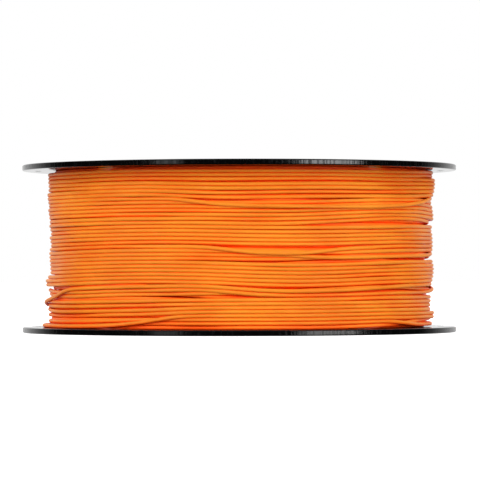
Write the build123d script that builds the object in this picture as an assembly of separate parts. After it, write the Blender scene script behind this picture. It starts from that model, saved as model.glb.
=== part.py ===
from build123d import *
import math
import os

# Filament spool of the 1 kg size, full, lying on its lower flange.
# Millimetres. Origin: centre of the lower flange's outer face. +Z: up the spool's axis.
# The spool is three mouldings that snap together for good: a core tube and two equal
# flanges. The filament is wound on the core tube, its first end goes through the tube's
# wall, and its last end is pushed through an anchor hole of the upper flange.

# Driving dimensions
FLANGE_DIA = 200.0
SPOOL_WIDTH = 77.0        # over both flanges
RIM_T = 2.6               # flange thickness at the rim
WEB_T = 2.0               # flange plate between hub and rim
BORE_DIA = 55.0           # for a holder's axle or roller hub
CORE_DIA = 104.0          # the tube that the filament is wound on
CORE_WALL = 3.0
WINDING_DIA = 175.0
FILAMENT_DIA = 1.75

# Flange, seen from its outer face
RIM_W = 4.0               # radial width of the raised rim
RIM_EDGE_R = 0.5
STEP_EDGE_R = 0.25
HUB_RING_W = 5.5          # raised ring around the bore
SEAT_BAND_IN_R = 45.0     # raised band over the core tube's seat
SEAT_BAND_OUT_R = 54.5
RIB_COUNT = 8
RIB_W = 2.0
SIGHT_COUNT = 4           # radial slots that show how much filament is left
SIGHT_W = 9.0
SIGHT_IN_R = 56.0
SIGHT_OUT_R = 89.0
SIGHT_FRAME_W = 1.2
MARK_LEN = 4.0            # marks beside a sight slot at each quarter of the filament
MARK_W = 0.9
ANCHOR_PAIRS = 4          # holes for the filament's free end
ANCHOR_R = 93.0
ANCHOR_DIA = 3.0
ANCHOR_SPREAD_DEG = 6.0
DRIVE_HOLES = 3           # a winding machine's driving pins go in these
DRIVE_PCD = 78.0
DRIVE_DIA = 8.0
DRIVE_BOSS_W = 1.5

# Flange, inner side
COLLAR_WALL = 3.0
COLLAR_H = 6.6            # from the outer face
BORE_EDGE_R = 0.8
HUB_RIBS = 6
HUB_RIB_W = 1.5
HUB_RIB_H = 5.0           # from the outer face
SPIGOT_WALL = 2.0
SPIGOT_PLAY = 0.2         # to the core tube's inner wall
SPIGOT_H = 6.6            # from the outer face
ARM_COUNT = 4
ARM_W = 10.0
ARM_H = 17.0              # from the outer face
ARM_SLIT = 1.0
HOOK_OUT = 1.6
HOOK_SHELF_Z = 13.0       # from the outer face
HOOK_FLAT = 1.2
LUG_COUNT = 4             # keys that stop the core tube turning on the flange
LUG_W = 5.6
LUG_H = 2.8

# Core tube
WINDOW_PLAY = 0.5         # around a hook, each side
NOTCH_PLAY = 0.2          # around a lug, each side
START_SLOT_LEN = 12.0
START_SLOT_H = 3.2
START_SLOT_Z = 12.0
CORE_RIBS = 8
CORE_RIB_W = 1.6
CORE_RIB_H = 1.2
CORE_RIB_END = 20.0       # from each outer face of the spool

# Filament and label
WINDING_PLAY = 0.05       # to the core tube and the flanges
WINDING_EDGE_R = 1.5
LABEL_T = 0.12
LABEL_IN_R = 58.5
LABEL_OUT_R = 88.5
LABEL_DEG = 38.0
LABEL_CORNER_R = 2.0

# Derived
FLANGE_R = FLANGE_DIA / 2
BORE_R = BORE_DIA / 2
CORE_R = CORE_DIA / 2
CORE_IN_R = CORE_R - CORE_WALL
WINDING_R = WINDING_DIA / 2
FILAMENT_R = FILAMENT_DIA / 2
RECESS = RIM_T - WEB_T
SPIGOT_OUT_R = CORE_IN_R - SPIGOT_PLAY
SPIGOT_IN_R = SPIGOT_OUT_R - SPIGOT_WALL
ON_BASE = (Align.CENTER, Align.CENTER, Align.MIN)
FROM_AXIS = (Align.MIN, Align.CENTER, Align.MIN)
CUT_MARGIN = 1.0          # how far a cutting shape runs past what it cuts
LAP = 1.0                 # how far a rib or a spigot runs into what it grows from

# Routes of the filament's two ends, as (angle in degrees, radius, height)
START_ROUTE = [(97.0, 53.9, 12.0), (80.0, 47.4, 12.4), (61.0, 42.6, 13.6)]
FREE_END_ROUTE = [
    (8.0, 89.0, 72.6),
    (17.0, 89.1, 70.9),
    (26.0, 89.0, 68.8),
    (35.0, 89.0, 66.8),
    (44.0, 89.1, 65.0),
    (52.5, 89.1, 63.6),
    (60.0, 89.4, 62.7),
    (67.0, 90.2, 62.3),
    (73.3, 91.4, 62.6),
    (78.6, 92.3, 63.5),
    (82.6, 92.8, 65.3),
    (85.1, 93.0, 68.4),
    (86.5, 93.0, 72.4),
    (87.0, 93.0, 76.8),
    (87.1, 93.1, 81.0),
]


def ring(r_in, r_out, z_low, z_high):
    """Plain ring about the spool's axis."""
    height = z_high - z_low
    disc = Cylinder(r_out, height, align=ON_BASE)
    hole = Cylinder(r_in, height, align=ON_BASE)
    return Pos(0, 0, z_low) * (disc - hole)


def radial_bar(r_in, r_out, width, z_low, z_high):
    """Bar that runs outward along +X."""
    return Pos(r_in, 0, z_low) * Box(r_out - r_in, width, z_high - z_low, align=FROM_AXIS)


def around(shape, count, first_deg=0.0):
    """Equal copies of a shape about the spool's axis."""
    return [Rot(0, 0, first_deg + k * 360 / count) * shape for k in range(count)]


def polar(angle_deg, radius, z):
    angle = math.radians(angle_deg)
    return (radius * math.cos(angle), radius * math.sin(angle), z)


def revolved(corners):
    """Solid of revolution from (radius, height, corner radius) points."""
    points = [(r, z) for r, z, _ in corners]
    outline = FilletPolyline(*points, radius=[c for _, _, c in corners], close=True)
    return revolve(Plane.XZ * make_face(outline), Axis.Z)


def flange_disc():
    """Plate with the raised rim, seat band and hub ring, and the collar around the bore."""
    rim_in_r = FLANGE_R - RIM_W
    hub_ring_r = BORE_R + HUB_RING_W
    collar_r = BORE_R + COLLAR_WALL
    edge = STEP_EDGE_R
    return revolved([
        (BORE_R, 0, BORE_EDGE_R),
        (hub_ring_r, 0, edge),
        (hub_ring_r, RECESS, edge),
        (SEAT_BAND_IN_R, RECESS, edge),
        (SEAT_BAND_IN_R, 0, edge),
        (SEAT_BAND_OUT_R, 0, edge),
        (SEAT_BAND_OUT_R, RECESS, edge),
        (rim_in_r, RECESS, edge),
        (rim_in_r, 0, edge),
        (FLANGE_R, 0, RIM_EDGE_R),
        (FLANGE_R, RIM_T, RIM_EDGE_R),
        (collar_r, RIM_T, edge),
        (collar_r, COLLAR_H, edge),
        (BORE_R, COLLAR_H, edge),
    ])


def sight_slot(extra):
    """Round-ended prism along +X with the sight slot's outline, grown by extra."""
    width = SIGHT_W + 2 * extra
    length = SIGHT_OUT_R - SIGHT_IN_R + 2 * extra
    middle = (SIGHT_IN_R + SIGHT_OUT_R) / 2
    return Pos(middle, 0, 0) * extrude(SlotOverall(length, width), RIM_T + CUT_MARGIN)


def quarter_radii():
    """Radii at which a quarter, a half, three quarters and all of the filament is left."""
    core_sq = CORE_R ** 2
    full_sq = WINDING_R ** 2
    return [math.sqrt(core_sq + (full_sq - core_sq) * k / 4) for k in range(1, 5)]


def sight_raised():
    """Frame around a sight slot and its quarter marks, as high as the rim."""
    height = RECESS + LAP
    frame = sight_slot(SIGHT_FRAME_W) & Cylinder(FLANGE_R, height, align=ON_BASE)
    mark_y = (SIGHT_W + SIGHT_FRAME_W + MARK_LEN) / 2
    for r in quarter_radii():
        frame += Pos(r, mark_y, 0) * Box(MARK_W, MARK_LEN, height, align=ON_BASE)
    return frame


def snap_arm():
    """Springy arm along +X whose hook catches in a window of the core tube."""
    arm = ring(SPIGOT_IN_R, SPIGOT_OUT_R, RIM_T - LAP, ARM_H)
    arm &= radial_bar(SPIGOT_IN_R - CUT_MARGIN, SPIGOT_OUT_R + CUT_MARGIN, ARM_W, 0, ARM_H)
    root_r = SPIGOT_OUT_R - SPIGOT_WALL / 2
    tip_r = SPIGOT_OUT_R + HOOK_OUT
    hook = Polyline(
        (root_r, HOOK_SHELF_Z),
        (tip_r, HOOK_SHELF_Z),
        (tip_r, HOOK_SHELF_Z + HOOK_FLAT),
        (SPIGOT_OUT_R - HOOK_FLAT / 2, ARM_H),
        (root_r, ARM_H),
        close=True,
    )
    return arm + extrude(Plane.XZ * make_face(hook), ARM_W / 2, both=True)


def snap_opening():
    """Opening in the plate under a hook, which the mould's core comes through."""
    outer_r = SPIGOT_OUT_R + HOOK_OUT + WINDOW_PLAY
    return radial_bar(SPIGOT_OUT_R, outer_r, ARM_W, -CUT_MARGIN, RIM_T + CUT_MARGIN)


def flange():
    """One flange moulding, outer face on z = 0, inner side up."""
    flange_part = flange_disc()
    rib_first = 180 / RIB_COUNT
    rib = radial_bar(SEAT_BAND_OUT_R - LAP, FLANGE_R - RIM_W + LAP, RIB_W, 0, RECESS + LAP)
    boss = Cylinder(DRIVE_DIA / 2 + DRIVE_BOSS_W, RECESS + LAP, align=ON_BASE)
    boss = Pos(DRIVE_PCD / 2, 0, 0) * boss
    hub_rib = radial_bar(BORE_R + LAP, SPIGOT_IN_R + LAP, HUB_RIB_W, RIM_T - LAP, HUB_RIB_H)
    lug_in_r = CORE_IN_R + NOTCH_PLAY
    lug_out_r = CORE_R - NOTCH_PLAY
    lug = radial_bar(lug_in_r, lug_out_r, LUG_W, RIM_T - LAP, RIM_T + LUG_H)
    slit_in_r = SPIGOT_IN_R - CUT_MARGIN
    slit_out_r = SPIGOT_OUT_R + CUT_MARGIN
    slit_w = ARM_W + 2 * ARM_SLIT
    slit = radial_bar(slit_in_r, slit_out_r, slit_w, RIM_T, SPIGOT_H + CUT_MARGIN)
    sight_first = 180 / SIGHT_COUNT
    arm_first = 180 / ARM_COUNT

    spigot = ring(SPIGOT_IN_R, SPIGOT_OUT_R, RIM_T - LAP, SPIGOT_H)
    spigot -= around(slit, ARM_COUNT, arm_first)
    flange_part += spigot
    flange_part += around(rib, RIB_COUNT, rib_first)
    flange_part += around(sight_raised(), SIGHT_COUNT, sight_first)
    flange_part += around(boss, DRIVE_HOLES, 90)
    flange_part += around(hub_rib, HUB_RIBS)
    flange_part += around(lug, LUG_COUNT)
    flange_part += around(snap_arm(), ARM_COUNT, arm_first)

    through = RIM_T + 2 * CUT_MARGIN
    drive_hole = Pos(DRIVE_PCD / 2, 0, -CUT_MARGIN) * Cylinder(DRIVE_DIA / 2, through, align=ON_BASE)
    anchor_hole = Pos(ANCHOR_R, 0, -CUT_MARGIN) * Cylinder(ANCHOR_DIA / 2, through, align=ON_BASE)
    flange_part -= around(Pos(0, 0, -CUT_MARGIN) * sight_slot(0), SIGHT_COUNT, sight_first)
    flange_part -= around(sight_slot(0), SIGHT_COUNT, sight_first)
    flange_part -= around(drive_hole, DRIVE_HOLES, 90)
    for side in (-1, 1):
        flange_part -= around(anchor_hole, ANCHOR_PAIRS, side * ANCHOR_SPREAD_DEG / 2)
    flange_part -= around(snap_opening(), ARM_COUNT, arm_first)
    return flange_part


def turned_over(shape):
    """The same shape at the spool's other end."""
    return Pos(0, 0, SPOOL_WIDTH) * Rot(0, 180, 0) * shape


def core_tube():
    """Tube between the flanges, with windows for the hooks and notches for the lugs."""
    tube = ring(CORE_IN_R, CORE_R, RIM_T, SPOOL_WIDTH - RIM_T)
    rib_top = SPOOL_WIDTH - CORE_RIB_END
    rib = radial_bar(CORE_IN_R - CORE_RIB_H, CORE_IN_R + LAP, CORE_RIB_W, CORE_RIB_END, rib_top)
    tube += around(rib, CORE_RIBS, 180 / CORE_RIBS)
    wall_in = CORE_IN_R - CUT_MARGIN
    wall_out = CORE_R + CUT_MARGIN
    window_low = HOOK_SHELF_Z - NOTCH_PLAY
    window_high = ARM_H + WINDOW_PLAY
    window = radial_bar(wall_in, wall_out, ARM_W + 2 * WINDOW_PLAY, window_low, window_high)
    notch_high = RIM_T + LUG_H + NOTCH_PLAY
    notch = radial_bar(wall_in, wall_out, LUG_W + 2 * NOTCH_PLAY, RIM_T - CUT_MARGIN, notch_high)
    for end in (lambda shape: shape, turned_over):
        for cut in around(window, ARM_COUNT, 180 / ARM_COUNT) + around(notch, LUG_COUNT):
            tube -= end(cut)
    slot = Plane.YZ * SlotOverall(START_SLOT_LEN, START_SLOT_H)
    slot = Pos(wall_in, 0, START_SLOT_Z) * extrude(slot, wall_out - wall_in)
    return tube - Rot(0, 0, 90) * slot


def filament_winding():
    """Outer shape of the wound filament: one closed ring that fills the spool."""
    low = RIM_T + WINDING_PLAY
    high = SPOOL_WIDTH - RIM_T - WINDING_PLAY
    inner = CORE_R + WINDING_PLAY
    return revolved([
        (inner, low, 0),
        (WINDING_R, low, WINDING_EDGE_R),
        (WINDING_R, high, WINDING_EDGE_R),
        (inner, high, 0),
    ])


def strand(name, route):
    """Filament along a route: straight runs joined by arcs as large as the runs allow."""
    points = [Vector(*polar(*stop)) for stop in route]
    runs = [b - a for a, b in zip(points, points[1:])]
    radii = []
    for before, after in zip(runs, runs[1:]):
        half_turn = math.radians(before.get_angle(after)) / 2
        radii.append(0.45 * min(before.length, after.length) / math.tan(half_turn))
    path = FilletPolyline(*points, radius=radii)
    section = Plane(origin=path @ 0, z_dir=path % 0) * Circle(FILAMENT_R)
    tube = sweep(section, path=path)
    expected = math.pi * FILAMENT_R ** 2 * path.length
    print(name, "length", round(path.length, 1), "radii", [round(r, 1) for r in radii])
    print(name, "volume over section times length", round(tube.volume / expected, 4))
    return tube


def filament_start():
    """First end of the filament: through the slot in the core tube and loose inside it."""
    tube = strand("filament_start", START_ROUTE)
    return tube & Cylinder(CORE_R, SPOOL_WIDTH, align=ON_BASE)


def filament_free_end():
    """Last end of the filament: off the winding and out through an anchor hole."""
    return strand("filament_free_end", FREE_END_ROUTE)


def label():
    """Blank paper label on the upper flange, in the bay that faces -Y."""
    outline = Sketch() + Circle(LABEL_OUT_R) - Circle(LABEL_IN_R)
    reach = FLANGE_DIA
    half = math.radians(LABEL_DEG / 2)
    wedge = make_face(Polyline(
        (0, 0),
        (reach * math.sin(half), -reach * math.cos(half)),
        (-reach * math.sin(half), -reach * math.cos(half)),
        close=True,
    ))
    outline = fillet((outline & wedge).vertices(), LABEL_CORNER_R)
    return Pos(0, 0, SPOOL_WIDTH - RECESS) * extrude(outline, LABEL_T)


os.makedirs("parts", exist_ok=True)
one_flange = flange()
export_step(one_flange, "parts/lower_flange.step")
export_step(turned_over(one_flange), "parts/upper_flange.step")
export_step(core_tube(), "parts/core_tube.step")
export_step(filament_winding(), "parts/filament_winding.step")
export_step(filament_start(), "parts/filament_start.step")
export_step(filament_free_end(), "parts/filament_free_end.step")
export_step(label(), "parts/label.step")
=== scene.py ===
import math

import bpy
import numpy as np
from mathutils import Matrix, Vector


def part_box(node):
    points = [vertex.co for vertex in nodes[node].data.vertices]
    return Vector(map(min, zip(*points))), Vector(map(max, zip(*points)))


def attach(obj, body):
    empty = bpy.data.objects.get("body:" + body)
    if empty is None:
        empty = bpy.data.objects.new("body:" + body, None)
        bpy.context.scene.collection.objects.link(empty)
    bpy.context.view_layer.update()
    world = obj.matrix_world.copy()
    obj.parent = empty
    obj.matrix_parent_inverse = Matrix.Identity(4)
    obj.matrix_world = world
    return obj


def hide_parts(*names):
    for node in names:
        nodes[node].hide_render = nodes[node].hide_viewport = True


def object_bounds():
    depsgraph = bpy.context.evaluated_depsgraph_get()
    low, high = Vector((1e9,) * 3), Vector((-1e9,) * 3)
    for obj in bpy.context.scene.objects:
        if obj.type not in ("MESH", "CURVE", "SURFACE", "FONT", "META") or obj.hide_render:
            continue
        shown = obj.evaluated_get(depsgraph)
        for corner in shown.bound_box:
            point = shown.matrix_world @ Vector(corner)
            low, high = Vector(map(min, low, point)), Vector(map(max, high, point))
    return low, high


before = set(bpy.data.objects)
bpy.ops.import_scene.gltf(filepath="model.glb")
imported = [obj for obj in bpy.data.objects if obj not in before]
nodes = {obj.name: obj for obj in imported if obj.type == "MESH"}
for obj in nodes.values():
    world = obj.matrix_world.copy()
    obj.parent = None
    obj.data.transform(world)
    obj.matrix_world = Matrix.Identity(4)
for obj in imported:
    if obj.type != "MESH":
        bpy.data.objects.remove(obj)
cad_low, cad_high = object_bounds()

# Looks of a full filament spool. The flanges, the core tube and the label are the CAD nodes
# with better materials. The filament is wound here turn by turn and replaces its CAD solids.
# The winding is worked out in millimetres and made in metres. Along the strand it is worked
# out at samples, of which each turn has the same number.

MM = 0.001

# Sizes from the frame, in millimetres
core_low, core_high = [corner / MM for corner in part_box("core_tube")]
CORE_R = core_high.x
INNER_LOW = core_low.z
INNER_HIGH = core_high.z

# Filament, with the routes of its two ends as (angle in degrees, radius, height)
STRAND_D = 1.75
STRAND_R = STRAND_D / 2
START_ROUTE = [(97.0, 53.9, 12.0), (80.0, 47.4, 12.4), (61.0, 42.6, 13.6)]
FREE_END_ROUTE = [
    (8.0, 89.0, 72.6),
    (17.0, 89.1, 70.9),
    (26.0, 89.0, 68.8),
    (35.0, 89.0, 66.8),
    (44.0, 89.1, 65.0),
    (52.5, 89.1, 63.6),
    (60.0, 89.4, 62.7),
    (67.0, 90.2, 62.3),
    (73.3, 91.4, 62.6),
    (78.6, 92.3, 63.5),
    (82.6, 92.8, 65.3),
    (85.1, 93.0, 68.4),
    (86.5, 93.0, 72.4),
    (87.0, 93.0, 76.8),
    (87.1, 93.1, 81.0),
]

# How it is wound: the guide runs up and down between the flanges
SAMPLES = 240              # per turn
LAYERS = 19                # the first goes up, so the last ends at the upper flange
OUTER_LAYERS = 3           # wound closer, each turn laid beside the one before
PITCH_INNER = 1.88         # the guide's travel per turn
PITCH_OUTER = 1.78
DWELL_TURNS = 0.8          # the guide waits this long at each flange
WOBBLE_SAMPLES = (16, 60)      # length of the guide's short and long wobble
WOBBLE_INNER = (0.05, 0.10)    # and its size
WOBBLE_OUTER = (0.15, 0.35)
WAVES = [                  # the outer turns' sway: size, waves round, waves across, phase
    (0.55, 3, 1, 40.0),
    (0.40, 5, 1, 200.0),
    (0.35, 4, 2, 110.0),
    (0.25, 7, 2, 300.0),
    (0.22, 6, 3, 20.0),
]
SLIP = 4.0                 # now and then an outer turn slips sideways, by this much
SLIP_FROM = 1.55           # for each unit of a random curve beyond this
SLIP_SAMPLES = 34          # length of a slip
BESIDE = 1.735             # spacing of turns laid side by side
CROSS_OVER = 2.6           # a turn crosses the one before where that place is this far
                           # past the guide
FLANGE_PLAY = 0.02
SEED = 16

START_SAMPLE = round(START_ROUTE[0][0] / 360 * SAMPLES)
END_SAMPLE = round(FREE_END_ROUTE[0][0] / 360 * SAMPLES)

# How a stretch of the strand settles on the surface below, in small steps
CELL = 0.1                 # of the surface's height map, along the axis
CHUNK = 60                 # samples laid for good each time,
AHEAD = 40                 # along with some of the next stretch, which only try,
BACK = 24                  # and some of the last, which stay where they are
CATCH_UP = 40.0            # samples in which it comes back to the guide
SETTLING_STEPS = 20
SLIDE_INNER, SLIDE_OUTER = 0.15, 0.04      # how far a step takes it down a slope
HOLD_INNER, HOLD_OUTER = 0.03, 0.10        # and back towards the guide
SLOPE_SPAN = 0.2           # a slope is measured this far to each side
SLOPE_GRIP = 0.15          # it doesn't slide where the slope is less
SLOPE_LIMIT = 1.5
LINE_BLUR, RADIUS_BLUR = 3.0, 1.5          # its stiffness, in samples

# How it is meshed
FINE_LAYERS = 4            # each a piece of its own
FINE_SIDES = 10
GROUP = 3                  # the layers under them, this many to a piece
GROUP_SIDES = 8
GROUP_STEP = 3             # of its samples, one in so many is used
UV_MARGIN = 0.05           # of a row of the UV map


# ---------------------------------------------------------------- winding

def bell(sigma):
    """Kernel of a Gaussian blur."""
    half = int(3 * sigma) + 1
    x = np.arange(-half, half + 1)
    kernel = np.exp(-0.5 * (x / sigma) ** 2)
    return kernel / kernel.sum()


def smooth(values, kernel):
    half = len(kernel) // 2
    padded = np.concatenate((np.full(half, values[0]), values, np.full(half, values[-1])))
    return np.convolve(padded, kernel, mode="valid")


def wander(rng, count, sigma):
    """Smooth random curve of unit spread."""
    kernel = bell(sigma)
    raw = rng.standard_normal(count + len(kernel) - 1)
    return np.convolve(raw, kernel, mode="valid") / math.sqrt((kernel ** 2).sum())


def guide_heights(rng):
    """Height of the machine's guide at each sample, each sample's layer, and the limits."""
    low = INNER_LOW + STRAND_R + FLANGE_PLAY
    high = INNER_HIGH - STRAND_R - FLANGE_PLAY
    start_z = START_ROUTE[0][2]
    down = np.linspace(start_z, low, int((start_z - low) / PITCH_INNER * SAMPLES))
    heights = [down]
    layers = [np.zeros(len(down), int)]
    for layer in range(LAYERS):
        pitch = PITCH_OUTER if layer >= LAYERS - OUTER_LAYERS else PITCH_INNER
        travel = np.linspace(low, high, int((high - low) / pitch * SAMPLES))
        run = np.concatenate((np.full(int(DWELL_TURNS * SAMPLES), low), travel))
        if layer % 2:
            run = low + high - run
        heights.append(run)
        layers.append(np.full(len(run), layer))
    heights = np.concatenate(heights)
    layers = np.concatenate(layers)
    extra = (START_SAMPLE + len(heights) - 1 - END_SAMPLE) % SAMPLES
    heights = heights[:len(heights) - extra]
    layers = layers[:len(heights)]

    count = len(heights)
    outer = layers >= LAYERS - OUTER_LAYERS
    for sigma, inner_size, outer_size in zip(WOBBLE_SAMPLES, WOBBLE_INNER, WOBBLE_OUTER):
        heights += np.where(outer, outer_size, inner_size) * wander(rng, count, sigma)
    angle = (START_SAMPLE + np.arange(count)) * 2 * math.pi / SAMPLES
    across = math.pi * np.clip((heights - low) / (high - low), 0, 1)
    for size, round_waves, across_waves, phase in WAVES:
        sway = np.cos(round_waves * angle + math.radians(phase))
        heights += np.where(outer, size * sway * np.sin(across_waves * across), 0)
    slips = wander(rng, count, SLIP_SAMPLES)
    slips = np.sign(slips) * np.maximum(np.abs(slips) - SLIP_FROM, 0)
    heights += np.where(outer, SLIP, 0) * slips
    return np.clip(heights, low, high), layers, low, high


def pulled_tight(support):
    """Radius of a taut strand over its support: the support's convex hull about the axis."""
    count = len(support)
    angle = (np.arange(count) - count // 2) * 2 * math.pi / SAMPLES + math.pi / 2
    cos, sin = np.cos(angle), np.sin(angle)
    x, y = support * cos, support * sin
    hull = []
    for i in range(count):
        while len(hull) > 1:
            a, b = hull[-2], hull[-1]
            if (x[b] - x[a]) * (y[i] - y[a]) - (y[b] - y[a]) * (x[i] - x[a]) > 0:
                break
            hull.pop()
        hull.append(i)
    hull = np.array(hull)
    span = np.clip(np.searchsorted(hull, np.arange(count), side="right") - 1, 0, len(hull) - 2)
    a, b = hull[span], hull[span + 1]
    dx, dy = x[b] - x[a], y[b] - y[a]
    along = (y[a] * cos - x[a] * sin) / (dx * sin - dy * cos)
    return np.maximum(np.hypot(x[a] + along * dx, y[a] + along * dy), support)


def raise_surface(surface, start, z, r):
    """Raises the surface where a stretch of strand, from the sample start on, now lies."""
    strand_cells = math.ceil(STRAND_D / CELL)
    reach = np.arange(-strand_cells, strand_cells + 1)
    cell = np.rint(z / CELL).astype(int)[:, None] + reach
    cell = np.clip(cell, 0, surface.shape[1] - 1)
    aside = np.abs(cell * CELL - z[:, None])
    raised = r[:, None] + np.sqrt(np.maximum(STRAND_D ** 2 - aside ** 2, 0))
    raised[aside >= STRAND_D] = 0
    column = (START_SAMPLE + start + np.arange(len(z))[:, None]) % SAMPLES
    surface[column, cell] = np.maximum(surface[column, cell], raised)


def wind():
    """Winds the whole strand: each stretch slides into the grooves below it, is pulled tight
    over what lies under it, and then raises the surface for the next. Returns each sample's
    height, radius and layer, and the surface that the next strand would lie on."""
    rng = np.random.default_rng(SEED)
    guide, layers, low, high = guide_heights(rng)
    count = len(guide)
    cells = int((INNER_HIGH + 2 * STRAND_D) / CELL)
    surface = np.full((SAMPLES, cells), CORE_R + STRAND_R)
    z = guide.copy()
    r = np.full(count, CORE_R + STRAND_R)
    along_kernel, radius_kernel = bell(LINE_BLUR), bell(RADIUS_BLUR)
    for start in range(0, count, CHUNK):
        first = max(0, start - BACK)
        last = min(count, start + CHUNK + AHEAD)
        done = start - first
        column = (START_SAMPLE + np.arange(first, last)) % SAMPLES
        target = guide[first:last]
        height = target.copy()
        height[:done] = z[first:start]
        if start:
            gap = z[start - 1] - guide[start - 1]
            height[done:] += gap * np.exp(-np.arange(last - start) / CATCH_UP)
        height = np.clip(height, low, high)

        def support(at):
            cell = (at / CELL).astype(int)
            part = at / CELL - cell
            return surface[column, cell] * (1 - part) + surface[column, cell + 1] * part

        # An outer turn is kept beside the turn before it, on the guide's side
        index = np.arange(first, last)
        outer = layers[index] >= LAYERS - OUTER_LAYERS
        before = np.maximum(index - SAMPLES, 0)
        beside = outer & (layers[before] == layers[index]) & (before < start)
        ahead = (target - z[before]) * np.where(layers[index] % 2, -1, 1)
        beside &= ahead > BESIDE - CROSS_OVER
        over = beside & (layers[index] % 2 == 0)
        under = beside & (layers[index] % 2 == 1)

        slide = np.where(outer, SLIDE_OUTER, SLIDE_INNER)
        hold = np.where(outer, HOLD_OUTER, HOLD_INNER)
        for _ in range(SETTLING_STEPS):
            rise = support(height + SLOPE_SPAN) - support(height - SLOPE_SPAN)
            slope = rise / (2 * SLOPE_SPAN)
            push = np.sign(slope) * np.clip(np.abs(slope) - SLOPE_GRIP, 0, SLOPE_LIMIT)
            height = height - slide * push + hold * (target - height)
            height[over] = np.maximum(height, z[before] + BESIDE)[over]
            height[under] = np.minimum(height, z[before] - BESIDE)[under]
            height[:done] = z[first:start]
            height = smooth(height, along_kernel)
            height[:done] = z[first:start]
            height = np.clip(height, low, high)

        base = support(height)
        base[:done] = r[first:start]
        radius = smooth(pulled_tight(base), radius_kernel)
        end = min(count, start + CHUNK)
        z[start:end] = height[done:done + end - start]
        r[start:end] = radius[done:done + end - start]
        raise_surface(surface, start, z[start:end], r[start:end])
    return z, r, layers, surface


def placed(angle_deg, radius, z):
    """Points from angles, radii and heights."""
    angle = np.radians(angle_deg)
    return np.stack((radius * np.cos(angle), radius * np.sin(angle), z), -1)


def spline_line(points):
    """Points along the smooth NURBS line that a few points control."""
    data = bpy.data.curves.new("guide", "CURVE")
    data.dimensions = "3D"
    data.resolution_u = 8
    spline = data.splines.new("NURBS")
    spline.points.add(len(points) - 1)
    for point, place in zip(spline.points, points):
        point.co = (*place, 1.0)
    spline.order_u = 3
    spline.use_endpoint_u = True
    holder = bpy.data.objects.new("guide", data)
    mesh = bpy.data.meshes.new_from_object(holder)
    line = np.array([vertex.co for vertex in mesh.vertices], float)
    bpy.data.objects.remove(holder)
    bpy.data.curves.remove(data)
    bpy.data.meshes.remove(mesh)
    return line


def free_end_line(line, surface):
    """From the last turn down over the winding, then up through the anchor hole. The turn's
    own end and direction stand for the route's first two points."""
    last = line[-1]
    onward = last + (last - line[-5]) * 1.2
    points = [last, onward]
    for angle, radius, z in FREE_END_ROUTE[2:]:
        column = round(angle / 360 * SAMPLES)
        cell = round(z / CELL)
        near = surface[column - 4:column + 5, cell - 6:cell + 7]
        if z < INNER_HIGH - STRAND_D and near.size:
            radius = max(radius, near.max())
        points.append(placed(angle, radius, z))
    return spline_line(points)


def start_line(line):
    """From inside the core tube out through its slot to the first turn, whose own end and
    direction stand for the route's first point."""
    first = line[0]
    before = first - (line[2] - first)
    inside = [placed(*stop) for stop in START_ROUTE[:0:-1]]
    return spline_line(inside + [before, first])


def tube_mesh(name, line, sides, row_length):
    """One round strand along a line. The UV map has a row for each row_length of its points,
    one turn on the winding, with u along the strand."""
    # A ring of points round each point of the line
    count = len(line)
    tangent = np.gradient(line, axis=0)
    tangent /= np.linalg.norm(tangent, axis=1)[:, None]
    out = line * (1, 1, 0)
    out -= (out * tangent).sum(1)[:, None] * tangent
    out /= np.linalg.norm(out, axis=1)[:, None]
    up = np.cross(out, tangent)
    turn = np.arange(sides) * 2 * math.pi / sides
    spoke = np.cos(turn)[:, None] * out[:, None] + np.sin(turn)[:, None] * up[:, None]
    places = (line[:, None] + STRAND_R * spoke) * MM

    # Faces between the rings, and one at each end
    step = np.arange(count - 1)[:, None]
    side = np.arange(sides)[None, :]
    beside = (side + 1) % sides
    here, ahead = step * sides, (step + 1) * sides
    quads = np.stack((here + side, here + beside, ahead + beside, ahead + side), -1)
    caps = np.stack((np.arange(sides)[::-1], (count - 1) * sides + np.arange(sides)))

    rows = math.ceil((count - 1) / row_length) + 1
    row, along = np.divmod(step, row_length)
    u = np.stack(np.broadcast_arrays(along, along, along + 1, along + 1), -1) / row_length
    u = np.broadcast_to(u, quads.shape)
    across = np.stack((side, side + 1, side + 1, side), -1) / sides
    v = (row[:, :, None] + UV_MARGIN + (1 - 2 * UV_MARGIN) * across) / rows
    quad_uv = np.stack((u, v), -1).reshape(-1, 2)
    cap_uv = np.tile([0.5, (rows - 0.5) / rows], (caps.size, 1))

    quads = quads.reshape(-1, 4)
    quad_starts = np.arange(len(quads)) * 4
    cap_starts = quads.size + np.arange(len(caps)) * sides
    mesh = bpy.data.meshes.new(name)
    mesh.vertices.add(count * sides)
    mesh.vertices.foreach_set("co", places.astype(np.float32).ravel())
    mesh.loops.add(quads.size + caps.size)
    corners = np.concatenate((quads.ravel(), caps.ravel()))
    mesh.loops.foreach_set("vertex_index", corners.astype(np.int32))
    mesh.polygons.add(len(quads) + len(caps))
    starts = np.concatenate((quad_starts, cap_starts))
    mesh.polygons.foreach_set("loop_start", starts.astype(np.int32))
    round_sides = np.arange(len(starts)) < len(quads)
    mesh.polygons.foreach_set("use_smooth", round_sides)
    uv_map = mesh.uv_layers.new(name="OFBake")
    uv_map.data.foreach_set("uv", np.concatenate((quad_uv, cap_uv)).astype(np.float32).ravel())
    mesh.update()
    mesh.validate()
    piece = bpy.data.objects.new(name, mesh)
    bpy.context.scene.collection.objects.link(piece)
    return piece


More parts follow.
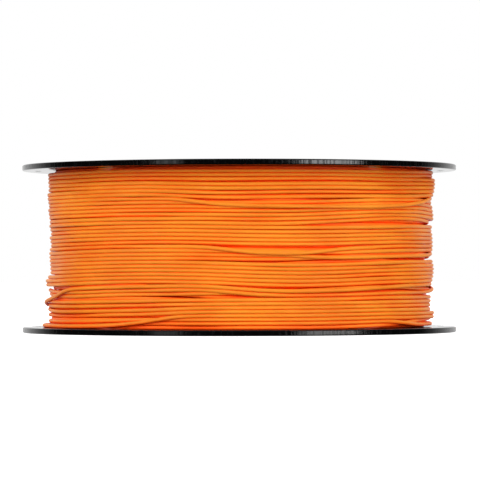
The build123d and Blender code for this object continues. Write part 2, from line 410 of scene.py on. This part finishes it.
def winding_pieces(line, layers):
    """The outer layers one by one, and the layers under them in groups."""
    pieces = []
    inner = LAYERS - FINE_LAYERS
    for low in range(0, inner, GROUP):
        high = min(low + GROUP, inner)
        index = np.flatnonzero((layers >= low) & (layers < high))
        part = line[index[0]:index[-1] + 1 + GROUP_STEP:GROUP_STEP]
        name = f"filament_layers_{low + 1:02d}_{high:02d}"
        pieces.append(tube_mesh(name, part, GROUP_SIDES, SAMPLES // GROUP_STEP))
    for layer in range(inner, LAYERS):
        index = np.flatnonzero(layers == layer)
        part = line[index[0]:index[-1] + 2]
        pieces.append(tube_mesh(f"filament_layer_{layer + 1:02d}", part, FINE_SIDES, SAMPLES))
    return pieces


# ---------------------------------------------------------------- materials

def new_material(name):
    material = bpy.data.materials.new(name)
    material.use_nodes = True
    tree = material.node_tree
    return material, tree, tree.nodes["Principled BSDF"]


def node(tree, kind, **values):
    """A new node. A value is a socket's number or link, or a property of the node."""
    made = tree.nodes.new(kind)
    for key, value in values.items():
        if key not in made.inputs:
            setattr(made, key, value)
        elif isinstance(value, bpy.types.NodeSocket):
            tree.links.new(value, made.inputs[key])
        else:
            made.inputs[key].default_value = value
    return made


def maths(tree, operation, *values):
    made = node(tree, "ShaderNodeMath", operation=operation)
    for socket, value in zip(made.inputs, values):
        if isinstance(value, bpy.types.NodeSocket):
            tree.links.new(value, socket)
        else:
            socket.default_value = value
    return made.outputs["Value"]


def place_in_object(tree):
    return node(tree, "ShaderNodeTexCoord").outputs["Object"]


def noise(tree, place, scale, detail=2.0, turned=(0, 0, 0)):
    """Noise whose features are 1/scale metres long along x, y and z."""
    mapping = node(tree, "ShaderNodeMapping", Vector=place, Scale=scale, Rotation=turned)
    vector = mapping.outputs["Vector"]
    texture = node(tree, "ShaderNodeTexNoise", Vector=vector, Scale=1.0, Detail=detail)
    return texture.outputs["Fac"]


def remap(tree, value, low, high, to_low=0.0, to_high=1.0, ease="LINEAR"):
    """A value from low to high becomes one from to_low to to_high, and stays within them."""
    made = node(tree, "ShaderNodeMapRange", Value=value, interpolation_type=ease)
    made.inputs["From Min"].default_value = low
    made.inputs["From Max"].default_value = high
    made.inputs["To Min"].default_value = to_low
    made.inputs["To Max"].default_value = to_high
    return made.outputs["Result"]


def mixed(tree, factor, first, second):
    """First colour where the factor is 0, second where it is 1."""
    made = node(tree, "ShaderNodeMix", data_type="RGBA")
    for key, value in (("Factor_Float", factor), ("A_Color", first), ("B_Color", second)):
        socket = next(s for s in made.inputs if s.identifier == key)
        if isinstance(value, bpy.types.NodeSocket):
            tree.links.new(value, socket)
        else:
            socket.default_value = value
    return next(s for s in made.outputs if s.identifier == "Result_Color")


def bumped(tree, shader, height, strength, distance):
    bump = node(tree, "ShaderNodeBump", Strength=strength, Distance=distance, Height=height)
    tree.links.new(bump.outputs["Normal"], shader.inputs["Normal"])


def filament_material():
    """Orange extruded plastic with cloudy tone, streaks along the strand and faint scuffs.
    In the creases between turns and close to the flanges the colour is painted a deeper red by
    an ambient occlusion node: painted shade, standing in for light that comes through the
    plastic."""
    dark, light = (0.66, 0.165, 0.009, 1), (0.73, 0.232, 0.014, 1)
    # The second colour on the next line is painted shade, for the creases between turns.
    rubbed, painted_crease_shade = (0.80, 0.28, 0.08, 1), (1.0, 0.055, 0.002, 1)
    material, tree, shader = new_material("filament_orange")
    place = place_in_object(tree)
    cloud = noise(tree, place, (38, 38, 70), 3.0)
    streak = noise(tree, place, (45, 45, 2400), 2.0)
    grain = noise(tree, place, (1500, 1500, 1500), 2.0)
    scuff = remap(tree, noise(tree, place, (160, 160, 700), 5.0), 0.60, 0.72)
    tone = maths(tree, "MULTIPLY_ADD", streak, 0.4, maths(tree, "MULTIPLY", cloud, 0.6))
    colour = mixed(tree, remap(tree, tone, 0.38, 0.62), dark, light)
    colour = mixed(tree, maths(tree, "MULTIPLY", scuff, 0.15), colour, rubbed)
    # Painted shade: where the ambient occlusion is low, in creases between turns and near the
    # flanges, the base colour turns deep red.
    occlusion = node(tree, "ShaderNodeAmbientOcclusion", Distance=0.009, samples=8)
    shade_free = remap(tree, occlusion.outputs["AO"], 0.12, 0.72)
    colour = mixed(tree, shade_free, painted_crease_shade, colour)
    tree.links.new(colour, shader.inputs["Base Color"])
    rough = maths(tree, "MULTIPLY_ADD", scuff, 0.12, remap(tree, streak, 0.3, 0.7, 0.36, 0.46))
    tree.links.new(rough, shader.inputs["Roughness"])
    relief = maths(tree, "MULTIPLY_ADD", grain, 0.3, streak)
    bumped(tree, shader, relief, 0.25, 0.00006)
    shader.inputs["Specular IOR Level"].default_value = 0.22
    shader.inputs["Diffuse Roughness"].default_value = 0.3
    return material


def flange_material():
    """Glossy black moulding: fine grain, hairline scratches and scuffs, and on its upright
    walls the close axial ticks that handling and the mould leave."""
    black, worn_grey = (0.0014, 0.0014, 0.0015, 1), (0.012, 0.012, 0.0125, 1)
    material, tree, shader = new_material("flange_black")
    place = place_in_object(tree)
    normal = node(tree, "ShaderNodeNewGeometry").outputs["Normal"]
    upright = node(tree, "ShaderNodeSeparateXYZ", Vector=normal).outputs["Z"]
    wall = remap(tree, maths(tree, "ABSOLUTE", upright), 0.35, 0.15)
    ticks = noise(tree, place, (1100, 1100, 12), 3.0)
    grain = noise(tree, place, (1800, 1800, 1800), 2.0)
    haze = noise(tree, place, (26, 26, 26), 4.0)
    scratch = remap(tree, noise(tree, place, (22, 1700, 22), 2.0, (0, 0, 0.5)), 0.68, 0.74)
    cross = remap(tree, noise(tree, place, (1500, 18, 18), 2.0, (0, 0, 0.2)), 0.69, 0.75)
    marks = maths(tree, "MAXIMUM", scratch, cross)
    marks = maths(tree, "MULTIPLY", marks, remap(tree, haze, 0.45, 0.60))
    scuff = remap(tree, noise(tree, place, (240, 240, 240), 3.0), 0.60, 0.80)
    scratched = maths(tree, "MULTIPLY", marks, 0.6)
    scuffed = maths(tree, "MULTIPLY", scuff, 0.5)
    worn = maths(tree, "MAXIMUM", scratched, scuffed)
    tree.links.new(mixed(tree, worn, black, worn_grey), shader.inputs["Base Color"])
    rough = maths(tree, "MULTIPLY_ADD", worn, 0.03, remap(tree, haze, 0.3, 0.7, 0.05, 0.09))
    wall_rough = remap(tree, ticks, 0.44, 0.60, 0.01, 0.21)
    wall_rough = maths(tree, "MULTIPLY_ADD", worn, 0.09, wall_rough)
    rough = maths(tree, "MULTIPLY_ADD", wall, wall_rough, rough)
    tree.links.new(rough, shader.inputs["Roughness"])
    relief = maths(tree, "MULTIPLY", ticks, maths(tree, "MULTIPLY", wall, 2.0))
    relief = maths(tree, "ADD", relief, maths(tree, "MULTIPLY", grain, 0.02))
    relief = maths(tree, "MULTIPLY_ADD", marks, -0.015, relief)
    bumped(tree, shader, relief, 0.35, 0.00008)
    shader.inputs["IOR"].default_value = 1.5
    return material


def core_material():
    """Satin black moulding with a fine grain and faint flow lines up its wall."""
    black, dusty = (0.010, 0.010, 0.0105, 1), (0.030, 0.029, 0.028, 1)
    material, tree, shader = new_material("core_black")
    place = place_in_object(tree)
    grain = noise(tree, place, (1200, 1200, 1200), 3.0)
    flow = noise(tree, place, (260, 260, 14), 3.0)
    dust = remap(tree, noise(tree, place, (90, 90, 90), 5.0), 0.52, 0.75)
    colour = mixed(tree, maths(tree, "MULTIPLY", dust, 0.5), black, dusty)
    tree.links.new(colour, shader.inputs["Base Color"])
    tree.links.new(remap(tree, flow, 0.3, 0.7, 0.38, 0.52), shader.inputs["Roughness"])
    bumped(tree, shader, maths(tree, "MULTIPLY_ADD", flow, 0.8, grain), 0.3, 0.00006)
    return material


def band(tree, value, low, high):
    """1 between low and high, else 0."""
    above = maths(tree, "GREATER_THAN", value, low)
    return maths(tree, "MULTIPLY", above, maths(tree, "LESS_THAN", value, high))


def label_material():
    """Blank coated paper with a block in the filament's colour and a few grey rules. The
    block and the rules are bent round the spool's axis."""
    paper_dark, paper_light = (0.78, 0.77, 0.74, 1), (0.86, 0.85, 0.82, 1)
    orange, grey = (0.82, 0.19, 0.012, 1), (0.30, 0.30, 0.31, 1)
    rule_width = 0.0007
    material, tree, shader = new_material("label_paper")
    place = place_in_object(tree)
    split = node(tree, "ShaderNodeSeparateXYZ", Vector=place)
    x, y = split.outputs["X"], split.outputs["Y"]
    forward = maths(tree, "MULTIPLY", y, -1.0)
    squares = maths(tree, "MULTIPLY_ADD", x, x, maths(tree, "MULTIPLY", y, y))
    radius = maths(tree, "SQRT", squares)
    angle = maths(tree, "ARCTAN2", x, forward)
    colour = mixed(tree, noise(tree, place, (900, 900, 900), 4.0), paper_dark, paper_light)
    block = band(tree, radius, 0.0610, 0.0665)
    block = maths(tree, "MULTIPLY", block, band(tree, angle, -0.27, 0.27))
    colour = mixed(tree, block, colour, orange)
    for rule_radius, reach in ((0.0710, 0.24), (0.0745, 0.24), (0.0780, 0.24), (0.0815, 0.10)):
        rule = band(tree, radius, rule_radius, rule_radius + rule_width)
        rule = maths(tree, "MULTIPLY", rule, band(tree, angle, -0.24, reach))
        colour = mixed(tree, rule, colour, grey)
    tree.links.new(colour, shader.inputs["Base Color"])
    fibre = noise(tree, place, (700, 2600, 700), 4.0)
    tree.links.new(remap(tree, fibre, 0.3, 0.7, 0.42, 0.55), shader.inputs["Roughness"])
    bumped(tree, shader, fibre, 0.2, 0.00003)
    return material


def paint(piece, material):
    piece.data.materials.clear()
    piece.data.materials.append(material)


# ---------------------------------------------------------------- stage

def add_camera():
    data = bpy.data.cameras.new("camera")
    data.sensor_width = 36.0
    data.lens = 258.7
    data.clip_start = 0.05
    data.clip_end = 20.0
    camera = bpy.data.objects.new("camera", data)
    bpy.context.scene.collection.objects.link(camera)
    camera.location = (0.0, -1.594, 0.029)
    pitch_up, yaw_left, roll = math.radians(0.487), math.radians(-0.0116), math.radians(0.10)
    turn = Matrix.Rotation(yaw_left, 4, "Z") @ Matrix.Rotation(math.pi / 2 + pitch_up, 4, "X")
    camera.rotation_euler = (turn @ Matrix.Rotation(-roll, 4, "Z")).to_euler()
    bpy.context.scene.camera = camera


def add_area(name, azimuth, elevation, distance, width, height, power):
    """Softbox that faces the spool. Azimuth 0 is the camera's side, positive to the right."""
    aim = Vector((0, 0, 0.04))
    a, e = math.radians(azimuth), math.radians(elevation)
    data = bpy.data.lights.new(name, "AREA")
    data.shape = "RECTANGLE"
    data.size = width
    data.size_y = height
    data.energy = power
    light = bpy.data.objects.new(name, data)
    bpy.context.scene.collection.objects.link(light)
    way = Vector((math.sin(a) * math.cos(e), -math.cos(a) * math.cos(e), math.sin(e)))
    light.location = aim + way * distance
    light.rotation_euler = way.to_track_quat("Z", "Y").to_euler()
    return light


def add_world():
    """White for the camera, even soft light for the rest, and a dark room with a white
    backdrop behind the spool and a pale ceiling for reflections."""
    world = bpy.data.worlds.new("studio")
    world.use_nodes = True
    tree = world.node_tree
    way = node(tree, "ShaderNodeTexCoord").outputs["Generated"]
    split = node(tree, "ShaderNodeSeparateXYZ", Vector=way)
    backdrop = remap(tree, split.outputs["Y"], 0.35, 0.90, 0.0, 0.9, "SMOOTHSTEP")
    ceiling = remap(tree, split.outputs["Z"], 0.35, 0.95, 0.0, 0.6, "SMOOTHSTEP")
    brighter = maths(tree, "MAXIMUM", backdrop, ceiling)
    reflected = node(tree, "ShaderNodeBackground", Color=brighter).outputs["Background"]
    ambient = node(tree, "ShaderNodeBackground", Color=(1, 1, 1, 1), Strength=0.45)
    white = node(tree, "ShaderNodeBackground", Color=(1, 1, 1, 1), Strength=1.0)
    path = node(tree, "ShaderNodeLightPath")
    gloss_mix = node(tree, "ShaderNodeMixShader", Fac=path.outputs["Is Glossy Ray"])
    camera_mix = node(tree, "ShaderNodeMixShader", Fac=path.outputs["Is Camera Ray"])
    link = tree.links.new
    link(ambient.outputs["Background"], gloss_mix.inputs[1])
    link(reflected, gloss_mix.inputs[2])
    link(gloss_mix.outputs["Shader"], camera_mix.inputs[1])
    link(white.outputs["Background"], camera_mix.inputs[2])
    link(camera_mix.outputs["Shader"], tree.nodes["World Output"].inputs["Surface"])
    bpy.context.scene.world = world
    bpy.context.scene.view_settings.view_transform = "Standard"


def add_floor():
    """Plain white floor, as bright as the background. It lights nothing and isn't reflected."""
    reach = 6.0
    gap = 0.0002
    z = cad_low.z - gap
    corners = [(-reach, -reach, z), (reach, -reach, z), (reach, reach, z), (-reach, reach, z)]
    mesh = bpy.data.meshes.new("floor")
    mesh.from_pydata(corners, [], [(0, 1, 2, 3)])
    floor = bpy.data.objects.new("floor", mesh)
    bpy.context.scene.collection.objects.link(floor)
    material, tree, shader = new_material("floor_white")
    shader.inputs["Base Color"].default_value = (0.9, 0.9, 0.9, 1)
    shader.inputs["Roughness"].default_value = 0.8
    shader.inputs["Specular IOR Level"].default_value = 0.0
    shader.inputs["Emission Color"].default_value = (1, 1, 1, 1)
    shader.inputs["Emission Strength"].default_value = 1.0
    paint(floor, material)
    floor.visible_glossy = False
    floor.visible_diffuse = False


def add_lights():
    """Low strips make the rims' highlights. Fills all round light the rest, and reflections
    don't show them."""
    add_area("softbox_right", 46.5, 1, 1.4, 0.78, 0.18, 2.8)
    add_area("softbox_left", -37, 1, 1.4, 0.34, 0.18, 0.26)
    add_area("fill_left", -68, 12, 1.4, 0.88, 0.9, 10.4).visible_glossy = False
    add_area("fill_right", 64, 12, 1.4, 0.88, 0.9, 10.4).visible_glossy = False
    add_area("fill_front", -8, 15, 1.6, 1.2, 0.8, 18.5).visible_glossy = False
    add_area("fill_back", 180, 25, 1.6, 1.4, 0.9, 14.0).visible_glossy = False


# ---------------------------------------------------------------- spool

def paint_cad_nodes():
    flange_black = flange_material()
    paint(nodes["lower_flange"], flange_black)
    paint(nodes["upper_flange"], flange_black)
    paint(nodes["core_tube"], core_material())
    paint(nodes["label"], label_material())


def add_filament():
    """The wound strand and its two ends, in place of their CAD solids."""
    z, r, layers, surface = wind()
    line = placed((START_SAMPLE + np.arange(len(z))) * 360 / SAMPLES, r, z)
    free_end = free_end_line(line, surface)
    start = start_line(line)
    strands = [(piece, "filament_winding") for piece in winding_pieces(line, layers)]
    free_piece = tube_mesh("free_end", free_end, FINE_SIDES, len(free_end))
    start_piece = tube_mesh("first_end", start, FINE_SIDES, len(start))
    strands += [(free_piece, "filament_free_end"), (start_piece, "filament_start")]
    filament_orange = filament_material()
    for piece, node_name in strands:
        paint(piece, filament_orange)
        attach(piece, "root")
        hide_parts(node_name)


add_camera()
add_world()
add_floor()
add_lights()
paint_cad_nodes()
add_filament()
